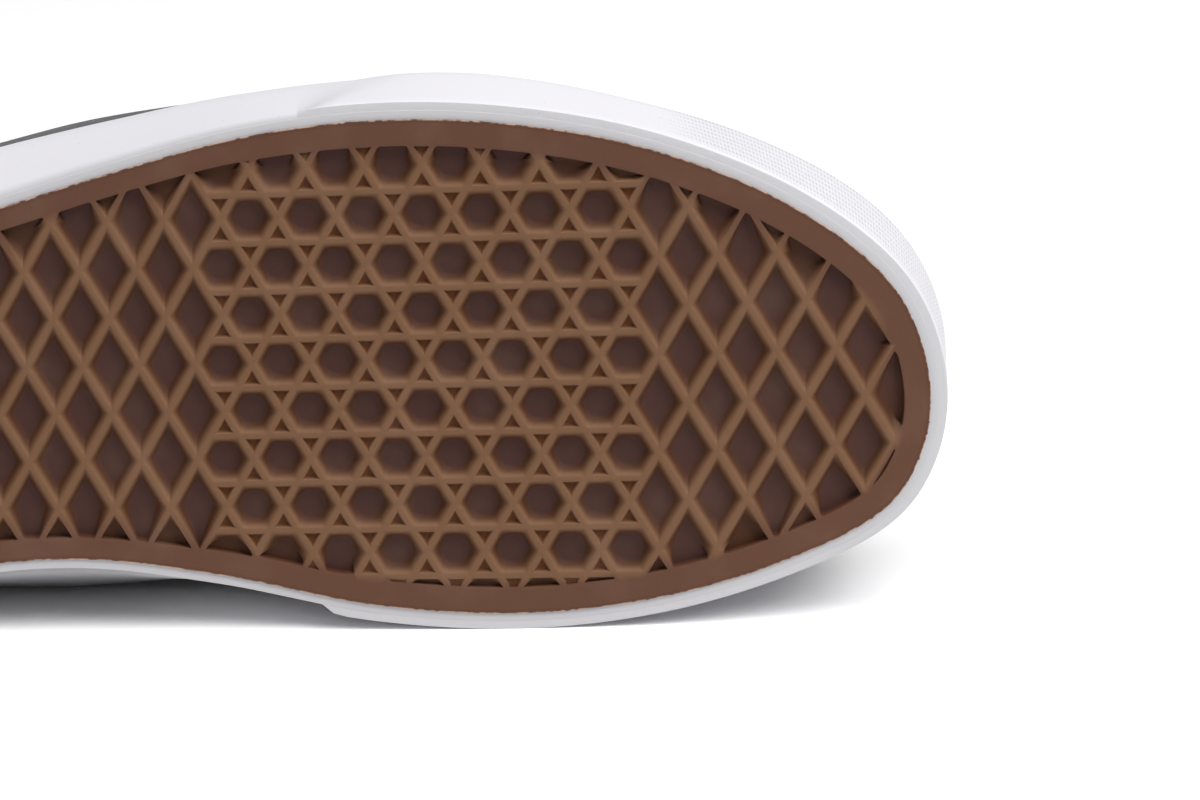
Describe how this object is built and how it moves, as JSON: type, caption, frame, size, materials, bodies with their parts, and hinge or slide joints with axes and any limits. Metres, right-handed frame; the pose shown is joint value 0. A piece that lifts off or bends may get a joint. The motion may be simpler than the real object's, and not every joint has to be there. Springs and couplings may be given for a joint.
{
  "type": "skateboarding shoe",
  "caption": "Low right skateboarding shoe with a gum lattice outsole, white rubber foxing and toe bumper, hollow black upper, tongue and laces, lying on its medial side.",
  "frame": {"origin": "on the floor, under the middle of the shoe as it lies on its medial side", "axes": "+X from heel to toe, +Y from the tread to the collar, +Z from the medial side on the floor up to the lateral side"},
  "size_m": [0.2898, 0.109, 0.1073],
  "materials": {
    "gum_rubber": "matt gum rubber",
    "white_rubber": "smooth matt white rubber",
    "insole_foam": "cloth over foam",
    "canvas": "heavy plain weave",
    "suede": "short nap",
    "lining": "knitted lining over foam",
    "lace_cotton": "flat woven lace",
    "eyelet_metal": "black lacquer"
  },
  "bodies": {
    "root": {"outsole": "gum_rubber", "foxing": "white_rubber", "toe_bumper": "white_rubber", "insole": "insole_foam", "upper": "canvas", "toe_cap": "suede", "heel_counter": "suede", "eyestay": "suede", "collar_pad": "lining", "tongue": "canvas", "eyelet_lateral_1": "eyelet_metal", "eyelet_lateral_2": "eyelet_metal", "eyelet_lateral_3": "eyelet_metal", "eyelet_lateral_4": "eyelet_metal", "eyelet_lateral_5": "eyelet_metal", "eyelet_lateral_6": "eyelet_metal", "eyelet_medial_1": "eyelet_metal", "eyelet_medial_2": "eyelet_metal", "eyelet_medial_3": "eyelet_metal", "eyelet_medial_4": "eyelet_metal", "eyelet_medial_5": "eyelet_metal", "eyelet_medial_6": "eyelet_metal", "lace_bar_1": "lace_cotton", "lace_bar_2": "lace_cotton", "lace_bar_3": "lace_cotton", "lace_bar_4": "lace_cotton", "lace_bar_5": "lace_cotton", "lace_bar_6": "lace_cotton"}
  },
  "joints": []
}
